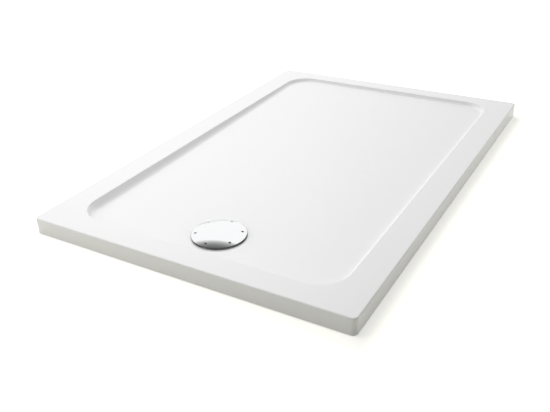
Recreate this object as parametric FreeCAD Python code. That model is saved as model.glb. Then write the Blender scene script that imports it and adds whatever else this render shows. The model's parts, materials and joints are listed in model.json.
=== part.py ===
import FreeCAD, Part
import math
import os

from FreeCAD import Vector

# Low rectangular shower tray with its 90 mm waste and trap, in millimetres.
# X runs across the tray, Y along it and Z up. The waste end is at -Y. The origin is the centre
# of the tray's underside, which lies on the bed; the trap hangs below it.

# ---------------------------------------------------------------- driving dimensions

# Tray
LENGTH = 1200.0            # along Y
WIDTH = 800.0              # along X
HEIGHT = 40.0              # underside to rim
OUTER_CORNER_R = 12.0      # upright corners, in plan
RIM_EDGE_R = 3.0           # outer edge of the rim
SKIN = 3.0                 # thickness of the acrylic cap
SKIRT_GAP = 1.0            # the cap's trimmed edge above the underside

# Recess
RIM_SIDE = 67.0            # flat rim at each long side
RIM_FRONT = 60.0           # flat rim at the waste end
RIM_BACK = 52.0            # flat rim at the far end
RECESS_CORNER_R = 70.0     # recess corners at rim level, in plan
WALL_LEAN = 25.0           # recess wall from the vertical, in degrees
RECESS_EDGE_R = 3.5        # rounding where the rim turns into the wall
FLOOR_EDGE_R = 8.0         # rounding where the wall turns into the floor
FLOOR_AT_WASTE = 18.0      # height of the floor at the rebate
FLOOR_FALL = 0.012         # rise of the conical floor per mm away from the waste

# Waste hole in the tray
WASTE_INSET = 160.0        # waste axis from the front edge
REBATE_D = 122.0           # round rebate that takes the flange
REBATE_DEPTH = 6.0         # below the floor
HOLE_D = 90.0              # through hole
SEAT_D = 120.0             # spot face for the lower seal
SEAT_DEPTH = 1.5

# Ribbed underside of the core
POCKETS_ACROSS = 4
POCKETS_ALONG = 4
RIB = 26.0                 # width of a rib between pockets
UNDER_MARGIN = 33.0        # solid border round the pockets
POCKET_DEPTH = 6.0
POCKET_CORNER_R = 14.0
WASTE_BOSS_D = 190.0       # solid land round the waste hole

# Waste flange and its seals
FLANGE_T = 3.0
FLANGE_GUTTER = 3.0        # gap between the flange and the rebate's wall
FLANGE_BEVEL = 1.0
SEAL_T = 2.0               # upper seal
SEAL_INSET = 0.5           # seal edge inside the flange edge
SPIGOT_WALL = 2.2
SPIGOT_LENGTH = 11.5       # below the flange plate
THROAT_BEVEL = 1.5
BODY_SEAL_T = 3.0          # lower seal
SEAL_CLEARANCE = 0.4       # round the neck, and round the hole's edge

# Trap body
NECK_CLEARANCE = 0.6       # neck in the tray's hole
NECK_WALL = 8.4
NECK_DROP = 2.0            # neck top below the rebate's floor
SPIGOT_CLEARANCE = 0.3     # flange spigot in the neck
SPIGOT_FLOAT = 0.5         # below the spigot's end
NECK_POCKET_WALL = 2.0     # walls left on both sides of the neck's pockets
NECK_POCKET_HALF_ANGLE = 34.0
COLLAR_T = 4.0
LEDGE_DEPTH = 10.5         # ledge for the dip tube, below the collar's top
LEDGE_WIDTH = 3.5
SHOULDER_WALL = 4.0        # throat of the body below the collar
CUP_D = 80.0               # inside of the cup
CUP_WALL = 2.5
CUP_CORNER_R = 10.0        # outside, at the foot of the cup
CUP_FLOOR_GAP = 12.0       # dip tube's end to the cup's floor
SEAM_DROP = 8.0            # welded seam below the outlet's neck
SEAM_LAP = 5.0             # half the height of the cup's socket
SEAM_WALL = 2.4
SEAM_CLEARANCE = 0.05
GUSSETS = 8
GUSSET_T = 2.5
GUSSET_DROP = 16.0

# Dip tube and its ring seal
TUBE_D = 52.0
TUBE_WALL = 2.2
FUNNEL_WALL = 3.6
FUNNEL_CLEARANCE = 0.3     # funnel in the body's bore
FUNNEL_HEIGHT = 10.0
FUNNEL_TAPER = 9.0         # drop of the cone between funnel and tube
WATER_SEAL = 50.0          # tube's end below the outlet's lowest point
RING_D = 2.5               # section of the O-ring
RING_CLEARANCE = 0.05      # running fit in the bore
GROOVE_SLACK = 0.3

# Hair strainer
STRAINER_T = 1.5
STRAINER_CLEARANCE = 0.6   # basket in the funnel
STRAINER_RIM_INSET = 0.4   # rim inside the funnel's outer edge
STRAINER_DEPTH = 16.0
STRAINER_HOLE_D = 4.5
STRAINER_HOLE_RINGS = ((9.5, 6), (16.5, 12))   # radius and count
STRAINER_SLOTS = 12
STRAINER_SLOT_W = 3.0
STRAINER_SLOT_H = 6.0
STEM_D = 6.0
STEM_HEIGHT = 10.0         # above the strainer's rim
KNOB_D = 16.0
KNOB_T = 3.0
KNOB_BEVEL = 1.0

# Waste cover and its carrier
COVER_D = 126.0
COVER_GAP = 3.5            # cover's lower edge above the flange
COVER_EDGE = 3.5           # height of the turned-down edge
COVER_RISE = 9.0           # dome above its edge
COVER_WALL = 2.0
COVER_EDGE_R = 2.2
COVER_HOLES = 6
COVER_HOLE_D = 7.0
COVER_HOLE_R = 52.0        # pitch radius
CARRIER_T = 3.0
CARRIER_RING_W = 5.0
CARRIER_ARMS = 3
CARRIER_ARM_W = 9.0
CARRIER_ARM_R = 53.0
FOOT_LENGTH = 6.0
POST_D = 7.0
POST_R = 41.0
CLIP_T = 2.0
CLIP_HALF_ANGLE = 10.0
CLIP_DEPTH = 11.0          # clips reach this far below the flange's top

# Flange screws and their bushes
SCREWS = 4
SCREW_D = 4.0
SCREW_HEAD_D = 8.4
SCREW_LENGTH = 13.5
SCREW_CLEARANCE = 0.3
SCREW_SLOT_W = 1.0
SCREW_SLOT_DEPTH = 1.3
BUSH_WALL = 0.9
BUSH_LENGTH = 7.5

# Outlet, for a 43 mm pipe along +Y
PIPE_D = 43.0
PIPE_CLEARANCE = 0.3
OUTLET_DROP = 38.0         # outlet axis below the tray's underside
OUTLET_BORE_D = 34.0
OUTLET_WALL = 3.0
SOCKET_WALL = 2.8
SOCKET_STOP = 58.0         # pipe stop, from the waste axis
SOCKET_LENGTH = 30.0
SOCKET_MOUTH = 2.6         # chamfer that takes the cone seal
THREAD_DEPTH = 1.9
THREAD_LENGTH = 22.0
THREAD_CLEARANCE = 0.05

# Outlet nut, slip ring and cone seal
NUT_WALL = 4.4
NUT_REACH = 26.0           # nut over the thread
NUT_LIP = 3.0
NUT_RIBS = 12
NUT_RIB_W = 5.0
NUT_RIB_H = 2.0
NUT_BEVEL = 1.0
CONE_SEAL_LENGTH = 4.0     # outside the socket's mouth
CONE_SEAL_NOSE = 0.8       # thickness of its tip
CONE_SEAL_GRIP = 0.1       # seal's bore round the pipe
SLIP_RING_T = 1.5

SEAT_GAP = 0.3             # between pieces that lift apart

# ---------------------------------------------------------------- places that follow from them

waste = Vector(0, WASTE_INSET - LENGTH / 2, 0)
hole_r = HOLE_D / 2
rebate_r = REBATE_D / 2
z_rebate = FLOOR_AT_WASTE - REBATE_DEPTH
z_plate = z_rebate + SEAL_T
z_flange = z_plate + FLANGE_T
flange_r = rebate_r - FLANGE_GUTTER

neck_r = hole_r - NECK_CLEARANCE
neck_bore_r = neck_r - NECK_WALL
spigot_r = neck_bore_r - SPIGOT_CLEARANCE
throat_r = spigot_r - SPIGOT_WALL
z_neck = z_rebate - NECK_DROP
z_spigot = z_plate - SPIGOT_LENGTH
screw_circle_r = (neck_r + neck_bore_r) / 2

z_collar = SEAT_DEPTH - BODY_SEAL_T
z_ledge = z_collar - LEDGE_DEPTH
ledge_r = throat_r - LEDGE_WIDTH
cup_r = CUP_D / 2
barrel_r = cup_r + CUP_WALL
tube_r = TUBE_D / 2
z_outlet = -OUTLET_DROP
z_tube = z_outlet - OUTLET_BORE_D / 2 - WATER_SEAL
z_cup = z_tube - CUP_FLOOR_GAP
z_seam = z_outlet - OUTLET_BORE_D / 2 - OUTLET_WALL - SEAM_DROP

z_funnel_foot = z_ledge + SEAT_GAP
z_funnel = z_funnel_foot + FUNNEL_HEIGHT
funnel_r = throat_r - FUNNEL_CLEARANCE
funnel_bore_r = funnel_r - FUNNEL_WALL
z_strainer = z_funnel + SEAT_GAP

z_cover = z_flange + COVER_GAP
cover_r = COVER_D / 2
dome_r = (cover_r ** 2 + COVER_RISE ** 2) / (2 * COVER_RISE)
z_dome_centre = z_cover + COVER_EDGE + COVER_RISE - dome_r

pipe_bore_r = PIPE_D / 2 + PIPE_CLEARANCE
socket_r = pipe_bore_r + SOCKET_WALL
thread_r = socket_r + THREAD_DEPTH
y_socket_end = SOCKET_STOP + SOCKET_LENGTH
nut_bore_r = thread_r + THREAD_CLEARANCE
nut_r = nut_bore_r + NUT_WALL
seal_bore_r = PIPE_D / 2 + CONE_SEAL_GRIP
seal_mouth_r = pipe_bore_r + SOCKET_MOUTH - SEAT_GAP
y_mouth = y_socket_end + SEAT_GAP
y_slip = y_mouth + CONE_SEAL_LENGTH
y_washer = y_slip + SLIP_RING_T
y_lip = y_washer + SEAT_GAP


# ---------------------------------------------------------------- helpers

def revolved(points, fillets=()):
    """Solid of revolution about Z from (radius, height) points. fillets rounds the ring edges
    at the given (radius, height, fillet radius)."""
    corners = [Vector(r, 0, z) for r, z in points]
    solid = Part.Face(Part.makePolygon(corners + corners[:1])).revolve(Vector(), Vector(0, 0, 1), 360)
    for r, z, size in fillets:
        ring = [e for e in solid.Edges if is_ring(e, r, z)]
        solid = solid.makeFillet(size, ring)
    return solid


def is_ring(edge, r, z):
    """True for a circular edge about Z with this radius and height."""
    if edge.Degenerated or not isinstance(edge.Curve, Part.Circle):
        return False
    curve = edge.Curve
    centred = math.hypot(curve.Center.x, curve.Center.y) < 1e-6
    return centred and abs(curve.Radius - r) < 1e-6 and abs(curve.Center.z - z) < 1e-6


def tube(outer_r, inner_r, z0, z1):
    """Plain ring about Z."""
    return revolved([(inner_r, z0), (outer_r, z0), (outer_r, z1), (inner_r, z1)])


def rod(r, z0, z1, at=(0, 0)):
    """Plain cylinder along Z."""
    return Part.makeCylinder(r, z1 - z0, Vector(at[0], at[1], z0))


def block(x0, x1, y0, y1, z0, z1):
    """Box between two corners."""
    return Part.makeBox(x1 - x0, y1 - y0, z1 - z0, Vector(x0, y0, z0))


def around(solid, count, first=0.0):
    """Copies of a solid turned about Z at equal angles."""
    copies = []
    for k in range(count):
        turned = solid.copy()
        turned.rotate(Vector(), Vector(0, 0, 1), first + 360.0 * k / count)
        copies.append(turned)
    return copies


def sector(outer_r, inner_r, z0, z1, half_angle):
    """Piece of a ring about Z, centred on the X axis."""
    ring = Part.makeCylinder(outer_r, z1 - z0, Vector(0, 0, z0), Vector(0, 0, 1), 2 * half_angle)
    ring = ring.cut(rod(inner_r, z0 - 1, z1 + 1))
    ring.rotate(Vector(), Vector(0, 0, 1), -half_angle)
    return ring


def rounded_outline(x0, x1, y0, y1, r, z):
    """Closed wire of a rectangle with round corners at one height."""
    c = r * math.sqrt(0.5)
    edges = []
    corners = ((x1 - r, y0 + r, 1, -1), (x1 - r, y1 - r, 1, 1), (x0 + r, y1 - r, -1, 1), (x0 + r, y0 + r, -1, -1))
    ends = []
    for x, y, sx, sy in corners:
        side = Vector(x + sx * r, y, z)
        end = Vector(x, y + sy * r, z)
        start, stop = (end, side) if sx * sy < 0 else (side, end)
        ends.append((start, Vector(x + sx * c, y + sy * c, z), stop))
    for k, (start, middle, stop) in enumerate(ends):
        edges.append(Part.Arc(start, middle, stop).toShape())
        edges.append(Part.LineSegment(stop, ends[(k + 1) % 4][0]).toShape())
    return Part.Wire(edges)


def rounded_prism(x0, x1, y0, y1, r, z0, z1):
    """Upright prism on a rectangle with round corners."""
    return Part.Face(rounded_outline(x0, x1, y0, y1, r, z0)).extrude(Vector(0, 0, z1 - z0))


def export(node, shape):
    """Write one sub-part as STEP."""
    shape.removeSplitter().exportStep(os.path.join("parts", node + ".step"))
    print(f"{node}: {len(shape.Solids)} solid(s), {shape.Volume / 1000:.1f} cm3")


def at_waste(shape):
    """Move a shape made about the Z axis to the waste axis."""
    moved = shape.copy()
    moved.translate(waste)
    return moved


# ---------------------------------------------------------------- tray

def floor_height(distance):
    """Height of the conical floor at this distance from the waste axis."""
    return FLOOR_AT_WASTE + FLOOR_FALL * (distance - rebate_r)


def recess(inset):
    """Solid that fills the recess. inset moves its walls and floor into the tray by that much, and
    the foot of the walls, which the cap's thickness hides, then stays sharp."""
    lean = math.tan(math.radians(WALL_LEAN))
    grow = inset / math.cos(math.radians(WALL_LEAN))
    z_low = z_rebate - SKIN
    z_high = HEIGHT + inset + 1

    def outline(z):
        out = grow - (HEIGHT - z) * lean
        return rounded_outline(
            RIM_SIDE - WIDTH / 2 - out,
            WIDTH / 2 - RIM_SIDE + out,
            RIM_FRONT - LENGTH / 2 - out,
            LENGTH / 2 - RIM_BACK + out,
            RECESS_CORNER_R + out,
            z,
        )

    leaning = Part.makeLoft([outline(z_low), outline(z_high)], True, True)
    reach = math.hypot(LENGTH, WIDTH)
    ground = revolved([
        (0, z_low - 1),
        (reach, z_low - 1),
        (reach, floor_height(reach) - inset),
        (hole_r, floor_height(hole_r) - inset),
        (0, floor_height(hole_r) - inset),
    ])
    # the cone's seam runs to the middle of the near wall, clear of the corners
    ground.rotate(Vector(), Vector(0, 0, 1), -90)
    hollow = leaning.cut(at_waste(ground)).Solids[0]
    if inset:
        return hollow
    foot = [e for e in hollow.Edges if on_floor(e)]
    return hollow.makeFillet(FLOOR_EDGE_R, foot)


def on_floor(edge):
    """True for an edge of the recess's foot, where its walls meet the conical floor."""
    for p in edge.discretize(5):
        distance = math.hypot(p.x - waste.x, p.y - waste.y)
        if distance < rebate_r or abs(p.z - floor_height(distance)) > 1e-3:
            return False
    return True


def tray_form(inset):
    """The whole tray as one solid, with its upper and outer faces moved inwards by inset."""
    form = rounded_prism(
        inset - WIDTH / 2,
        WIDTH / 2 - inset,
        inset - LENGTH / 2,
        LENGTH / 2 - inset,
        OUTER_CORNER_R - inset,
        0,
        HEIGHT - inset,
    )
    form = form.cut(recess(inset))
    rebate = rod(rebate_r + inset, z_rebate - inset, HEIGHT)
    return form.cut(at_waste(rebate))


def rim_edges(form, outer):
    """Edges of the rim's flat top: its outer outline, or the recess's."""
    found = []
    for edge in form.Edges:
        box = edge.BoundBox
        if abs(box.ZMin - HEIGHT) > 1e-6 or abs(box.ZMax - HEIGHT) > 1e-6:
            continue
        far = max(abs(box.XMin), abs(box.XMax)) > WIDTH / 2 - RIM_SIDE / 2
        far = far or max(abs(box.YMin), abs(box.YMax)) > LENGTH / 2 - min(RIM_FRONT, RIM_BACK) / 2
        if far == outer:
            found.append(edge)
    return found


def under_pockets():
    """Pockets between the ribs of the core's underside, clear of the land round the waste."""
    pitch_x = (WIDTH - 2 * UNDER_MARGIN + RIB) / POCKETS_ACROSS
    pitch_y = (LENGTH - 2 * UNDER_MARGIN + RIB) / POCKETS_ALONG
    land = at_waste(rod(WASTE_BOSS_D / 2, -2, POCKET_DEPTH + 1))
    pockets = []
    for i in range(POCKETS_ACROSS):
        for j in range(POCKETS_ALONG):
            x0 = UNDER_MARGIN - WIDTH / 2 + i * pitch_x
            y0 = UNDER_MARGIN - LENGTH / 2 + j * pitch_y
            pocket = rounded_prism(
                x0, x0 + pitch_x - RIB, y0, y0 + pitch_y - RIB, POCKET_CORNER_R, -1, POCKET_DEPTH
            )
            pockets.append(pocket.cut(land))
    return pockets


def make_tray():
    """The acrylic skin and the cast core that fills it."""
    hole = at_waste(rod(hole_r, -1, HEIGHT))
    whole = tray_form(0)
    whole = whole.makeFillet(RIM_EDGE_R, rim_edges(whole, True))
    whole = whole.makeFillet(RECESS_EDGE_R, rim_edges(whole, False))
    core = tray_form(SKIN)
    trimmed = block(-WIDTH, WIDTH, -LENGTH, LENGTH, -1, SKIRT_GAP)
    skin = whole.cut(core).cut([hole, trimmed])
    seat = at_waste(rod(SEAT_D / 2, -1, SEAT_DEPTH))
    core = core.cut(under_pockets() + [hole, seat])
    return skin, core


# ---------------------------------------------------------------- waste above the tray's floor

def make_cover():
    """Pressed dome with a turned-down edge and a ring of small holes."""
    inner_r = cover_r - COVER_WALL
    outer = rod(cover_r, z_cover, z_cover + COVER_EDGE + COVER_RISE)
    outer = outer.common(Part.makeSphere(dome_r, Vector(0, 0, z_dome_centre)))
    shoulder = [e for e in outer.Edges if is_ring(e, cover_r, z_cover + COVER_EDGE)]
    outer = outer.makeFillet(COVER_EDGE_R, shoulder)
    inner = rod(inner_r, z_cover - 1, z_cover + COVER_EDGE + COVER_RISE).common(dome_inside())
    drill = Part.makeCylinder(COVER_HOLE_D / 2, COVER_EDGE + COVER_RISE, Vector(COVER_HOLE_R, 0, z_cover))
    return outer.cut(inner).cut(around(drill, COVER_HOLES, 180.0 / COVER_HOLES))


def dome_inside():
    """Ball that the dome's underside lies on."""
    return Part.makeSphere(dome_r - COVER_WALL, Vector(0, 0, z_dome_centre))


def make_carrier():
    """Spider under the dome: ring, arms with feet, posts up to the dome and clips in the throat."""
    top = z_cover + CARRIER_T
    ring_r = throat_r - FUNNEL_CLEARANCE
    ring = tube(ring_r, ring_r - CARRIER_RING_W, z_cover, top)
    arm = block(ring_r - CARRIER_RING_W / 2, CARRIER_ARM_R, -CARRIER_ARM_W / 2, CARRIER_ARM_W / 2, z_cover, top)
    foot = block(
        CARRIER_ARM_R - FOOT_LENGTH, CARRIER_ARM_R, -CARRIER_ARM_W / 2, CARRIER_ARM_W / 2, z_flange + SEAT_GAP, top
    )
    post = rod(POST_D / 2, z_cover, z_cover + COVER_EDGE + COVER_RISE, (POST_R, 0)).common(dome_inside())
    clip = sector(ring_r, ring_r - CLIP_T, z_flange - CLIP_DEPTH, top, CLIP_HALF_ANGLE)
    pieces = around(arm.fuse([foot, post]), CARRIER_ARMS, 90)
    pieces += around(clip, CARRIER_ARMS, 90 + 180.0 / CARRIER_ARMS)
    return ring.fuse(pieces)


def screw_at():
    """Angles of the flange screws."""
    return 180.0 / SCREWS


def make_flange():
    """Top ring of the waste: plate in the rebate, round throat and spigot into the neck."""
    body = revolved([
        (throat_r, z_spigot),
        (spigot_r, z_spigot),
        (spigot_r, z_plate),
        (flange_r, z_plate),
        (flange_r, z_flange - FLANGE_BEVEL),
        (flange_r - FLANGE_BEVEL, z_flange),
        (throat_r + THROAT_BEVEL, z_flange),
        (throat_r, z_flange - THROAT_BEVEL),
    ])
    return body.cut(around(screw_form(SCREW_CLEARANCE), SCREWS, screw_at()))


def screw_form(clearance):
    """Countersunk screw flush with the flange, on the screw circle. clearance widens its shank, as
    for its hole, and its head seats face to face."""
    shank_r = SCREW_D / 2 + clearance
    head_r = SCREW_HEAD_D / 2
    form = revolved([
        (0, z_flange - SCREW_LENGTH),
        (shank_r, z_flange - SCREW_LENGTH),
        (shank_r, z_flange - (head_r - shank_r)),
        (head_r, z_flange),
        (0, z_flange),
    ])
    form.translate(Vector(screw_circle_r, 0, 0))
    return form


def make_screws():
    """Flange screws with a cross recess."""
    reach = SCREW_HEAD_D / 2 - SCREW_SLOT_W
    half = SCREW_SLOT_W / 2
    low = z_flange - SCREW_SLOT_DEPTH
    x = screw_circle_r
    cross = block(x - reach, x + reach, -half, half, low, z_flange + 1)
    cross = cross.fuse(block(x - half, x + half, -reach, reach, low, z_flange + 1))
    screw = screw_form(0).cut(cross)
    return Part.makeCompound(around(screw, SCREWS, screw_at()))


def bush_r():
    """Outer radius of the brass bushes."""
    return SCREW_D / 2 + BUSH_WALL


def make_bushes():
    """Brass bushes in the neck."""
    bush = tube(bush_r(), SCREW_D / 2, z_neck - BUSH_LENGTH, z_neck)
    bush.translate(Vector(screw_circle_r, 0, 0))
    return Part.makeCompound(around(bush, SCREWS, screw_at()))


def make_flange_seal():
    """Washer between the flange's plate and the rebate."""
    return tube(flange_r - SEAL_INSET, hole_r + SEAL_CLEARANCE, z_rebate, z_plate)


def make_body_seal():
    """Washer between the tray's spot face and the trap's collar."""
    return tube(SEAT_D / 2 - SEAL_CLEARANCE, neck_r + SEAL_CLEARANCE, z_collar, SEAT_DEPTH)


# ---------------------------------------------------------------- trap

def along_outlet(shape):
    """Turn a shape made about Z so that it lies along the outlet axis."""
    turned = shape.copy()
    turned.rotate(Vector(), Vector(1, 0, 0), -90)
    turned.translate(Vector(0, 0, z_outlet))
    return turned


def make_body():
    """Trap body: neck through the tray, collar under it, barrel and outlet socket."""
    collar_r = SEAT_D / 2 - SEAL_CLEARANCE
    z_under = z_collar - COLLAR_T
    shoulder_r = throat_r + SHOULDER_WALL
    z_outside = z_under - SHOULDER_WALL / 2
    outside = revolved([
        (0, z_neck),
        (neck_r, z_neck),
        (neck_r, z_collar),
        (collar_r, z_collar),
        (collar_r, z_under),
        (shoulder_r, z_under),
        (shoulder_r, z_outside),
        (barrel_r, z_outside - (barrel_r - shoulder_r)),
        (barrel_r, z_seam),
        (0, z_seam),
    ])
    z_shoulder = z_ledge - CUP_WALL
    inside = revolved([
        (0, z_neck + 1),
        (neck_bore_r, z_neck + 1),
        (neck_bore_r, z_spigot - SPIGOT_FLOAT),
        (throat_r, z_spigot - SPIGOT_FLOAT),
        (throat_r, z_ledge),
        (ledge_r, z_ledge),
        (ledge_r, z_shoulder),
        (cup_r, z_shoulder - (cup_r - ledge_r) / 2),
        (cup_r, z_seam - 1),
        (0, z_seam - 1),
    ])
    gusset_points = [
        Vector(barrel_r - CUP_WALL / 2, 0, z_under),
        Vector(collar_r - GUSSET_T, 0, z_under),
        Vector(barrel_r - CUP_WALL / 2, 0, z_under - GUSSET_DROP),
    ]
    gusset = Part.Face(Part.makePolygon(gusset_points + gusset_points[:1])).extrude(Vector(0, GUSSET_T, 0))
    gusset.translate(Vector(0, -GUSSET_T / 2, 0))
    neck_pocket = sector(
        neck_r - NECK_POCKET_WALL, neck_bore_r + NECK_POCKET_WALL, z_collar, z_neck + 1, NECK_POCKET_HALF_ANGLE
    )
    bush_hole = rod(bush_r(), z_neck - BUSH_LENGTH, z_neck + 1, (screw_circle_r, 0))
    body = outside.fuse(around(gusset, GUSSETS, 180.0 / GUSSETS) + [along_outlet(outlet_outside())])
    cuts = [inside, along_outlet(outlet_inside())]
    cuts += around(neck_pocket, SCREWS)
    cuts += around(bush_hole, SCREWS, screw_at())
    return body.cut(cuts)


def make_cup():
    """Bowl of the trap, with a socket in which the barrel is welded."""
    z_floor = z_cup - CUP_WALL
    seam_r = barrel_r + SEAM_CLEARANCE
    band_r = seam_r + SEAM_WALL
    z_band = z_seam - SEAM_LAP
    return revolved(
        [
            (0, z_cup),
            (cup_r, z_cup),
            (cup_r, z_seam),
            (seam_r, z_seam),
            (seam_r, z_seam + SEAM_LAP),
            (band_r, z_seam + SEAM_LAP),
            (band_r, z_band),
            (barrel_r, z_band - (band_r - barrel_r)),
            (barrel_r, z_floor),
            (0, z_floor),
        ],
        [(cup_r, z_cup, CUP_CORNER_R - CUP_WALL), (barrel_r, z_floor, CUP_CORNER_R)],
    )


def outlet_outside():
    """Outside of the outlet, about Z: neck, flare, socket and thread."""
    neck = OUTLET_BORE_D / 2 + OUTLET_WALL
    y_flare = SOCKET_STOP - OUTLET_WALL
    y_thread = y_socket_end - THREAD_LENGTH
    return revolved([
        (0, cup_r - CUP_WALL),
        (neck, cup_r - CUP_WALL),
        (neck, y_flare - (socket_r - neck)),
        (socket_r, y_flare),
        (socket_r, y_thread),
        (thread_r, y_thread),
        (thread_r, y_socket_end),
        (0, y_socket_end),
    ])


def outlet_inside():
    """Bore of the outlet, about Z: waterway, pipe socket and the mouth for the cone seal."""
    return revolved([
        (0, cup_r / 2),
        (OUTLET_BORE_D / 2, cup_r / 2),
        (OUTLET_BORE_D / 2, SOCKET_STOP),
        (pipe_bore_r, SOCKET_STOP),
        (pipe_bore_r, y_socket_end - SOCKET_MOUTH),
        (pipe_bore_r + SOCKET_MOUTH, y_socket_end),
        (pipe_bore_r + SOCKET_MOUTH, y_socket_end + 1),
        (0, y_socket_end + 1),
    ])


def make_dip_tube():
    """Funnel that stands on the body's ledge, with the ring's groove and the long tube."""
    groove_r = throat_r - RING_CLEARANCE - RING_D
    z_ring = (z_funnel_foot + z_funnel) / 2
    half = RING_D / 2 + GROOVE_SLACK
    z_taper = z_funnel_foot - FUNNEL_TAPER
    tube_bore_r = tube_r - TUBE_WALL
    return revolved([
        (funnel_bore_r, z_funnel),
        (funnel_r, z_funnel),
        (funnel_r, z_ring + half),
        (groove_r, z_ring + half),
        (groove_r, z_ring - half),
        (funnel_r, z_ring - half),
        (funnel_r, z_funnel_foot),
        (ledge_r - FUNNEL_CLEARANCE, z_funnel_foot),
        (tube_r, z_taper),
        (tube_r, z_tube),
        (tube_bore_r, z_tube),
        (tube_bore_r, z_taper),
        (funnel_bore_r, z_funnel_foot + TUBE_WALL),
    ])


def make_ring_seal():
    """O-ring in the funnel's groove."""
    middle_r = throat_r - RING_CLEARANCE - RING_D / 2
    return Part.makeTorus(middle_r, RING_D / 2, Vector(0, 0, (z_funnel_foot + z_funnel) / 2))


def make_strainer():
    """Perforated basket with a rim on the funnel and a stem to lift it by."""
    basket_r = funnel_bore_r - STRAINER_CLEARANCE
    foot_r = tube_r - TUBE_WALL - STRAINER_CLEARANCE
    z_top = z_strainer + STRAINER_T
    z_foot = z_strainer - STRAINER_DEPTH
    z_bend = z_funnel_foot + TUBE_WALL
    shell = revolved([
        (0, z_foot),
        (foot_r, z_foot),
        (basket_r, z_bend),
        (basket_r, z_strainer),
        (funnel_r - STRAINER_RIM_INSET, z_strainer),
        (funnel_r - STRAINER_RIM_INSET, z_top),
        (basket_r - STRAINER_T, z_top),
        (basket_r - STRAINER_T, z_bend),
        (foot_r - STRAINER_T, z_foot + STRAINER_T),
        (0, z_foot + STRAINER_T),
    ])
    holes = []
    for ring_r, count in STRAINER_HOLE_RINGS:
        drill = rod(STRAINER_HOLE_D / 2, z_foot - 1, z_foot + STRAINER_T + 1, (ring_r, 0))
        holes += around(drill, count)
    slot = block(
        foot_r - 2 * STRAINER_T,
        funnel_r,
        -STRAINER_SLOT_W / 2,
        STRAINER_SLOT_W / 2,
        z_strainer - STRAINER_T - STRAINER_SLOT_H,
        z_strainer - STRAINER_T,
    )
    holes += around(slot, STRAINER_SLOTS, 180.0 / STRAINER_SLOTS)
    z_knob = z_top + STEM_HEIGHT
    stem = rod(STEM_D / 2, z_foot, z_knob)
    knob_r = KNOB_D / 2
    knob = revolved([
        (0, z_knob),
        (knob_r - KNOB_BEVEL, z_knob),
        (knob_r, z_knob + KNOB_BEVEL),
        (knob_r, z_knob + KNOB_T - KNOB_BEVEL),
        (knob_r - KNOB_BEVEL, z_knob + KNOB_T),
        (0, z_knob + KNOB_T),
    ])
    return shell.cut(holes).fuse([stem, knob])


# ---------------------------------------------------------------- outlet fittings

def make_nut():
    """Compression nut over the socket's thread, with grip ribs and a lip round the pipe."""
    y_back = y_socket_end - NUT_REACH
    y_front = y_lip + NUT_LIP
    lip_r = pipe_bore_r + PIPE_CLEARANCE
    shell = revolved([
        (nut_bore_r, y_back),
        (nut_r - NUT_BEVEL, y_back),
        (nut_r, y_back + NUT_BEVEL),
        (nut_r, y_front - NUT_BEVEL),
        (nut_r - NUT_BEVEL, y_front),
        (lip_r, y_front),
        (lip_r, y_lip),
        (nut_bore_r, y_lip),
    ])
    rib = block(
        nut_bore_r + NUT_WALL / 2,
        nut_r + NUT_RIB_H,
        -NUT_RIB_W / 2,
        NUT_RIB_W / 2,
        y_back + NUT_BEVEL,
        y_front - NUT_BEVEL,
    )
    return along_outlet(shell.fuse(around(rib, NUT_RIBS)))


def make_slip_ring():
    """Flat washer between the nut's lip and the cone seal."""
    return along_outlet(tube(nut_bore_r - SEAT_GAP, pipe_bore_r, y_slip, y_washer))


def make_cone_seal():
    """Tapered rubber ring that the nut presses into the socket's mouth."""
    tip_r = seal_bore_r + CONE_SEAL_NOSE
    y_tip = y_mouth - (seal_mouth_r - tip_r)
    return along_outlet(revolved([
        (seal_bore_r, y_tip),
        (tip_r, y_tip),
        (seal_mouth_r, y_mouth),
        (nut_bore_r - SEAT_GAP, y_mouth),
        (nut_bore_r - SEAT_GAP, y_slip),
        (seal_bore_r, y_slip),
    ]))


# ---------------------------------------------------------------- write the nodes

os.makedirs("parts", exist_ok=True)

tray_skin, tray_core = make_tray()
export("tray_skin", tray_skin)
export("tray_core", tray_core)

at_waste_axis = {
    "waste_cover": make_cover(),
    "cover_carrier": make_carrier(),
    "waste_flange": make_flange(),
    "flange_screws": make_screws(),
    "screw_bushes": make_bushes(),
    "flange_seal": make_flange_seal(),
    "body_seal": make_body_seal(),
    "trap_body": make_body(),
    "trap_cup": make_cup(),
    "dip_tube": make_dip_tube(),
    "ring_seal": make_ring_seal(),
    "hair_strainer": make_strainer(),
    "outlet_nut": make_nut(),
    "slip_ring": make_slip_ring(),
    "cone_seal": make_cone_seal(),
}
for node, shape in at_waste_axis.items():
    export(node, at_waste(shape))
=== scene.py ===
# %% [markdown]
# # A low shower tray, dressed in Blender
#
# The real object is a wide, shallow slab: a glossy acrylic cap over a core of cast stone resin. Water runs
# over its slightly conical floor to a 90 mm waste with a chromed cover. Under the tray hangs the trap that
# keeps drain smells out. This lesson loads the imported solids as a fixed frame, models the pieces again
# with softer edges and finer detail, and gives every piece a material made of nodes.

import json
import math

import bmesh
import bpy
from mathutils import Matrix, Vector


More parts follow.
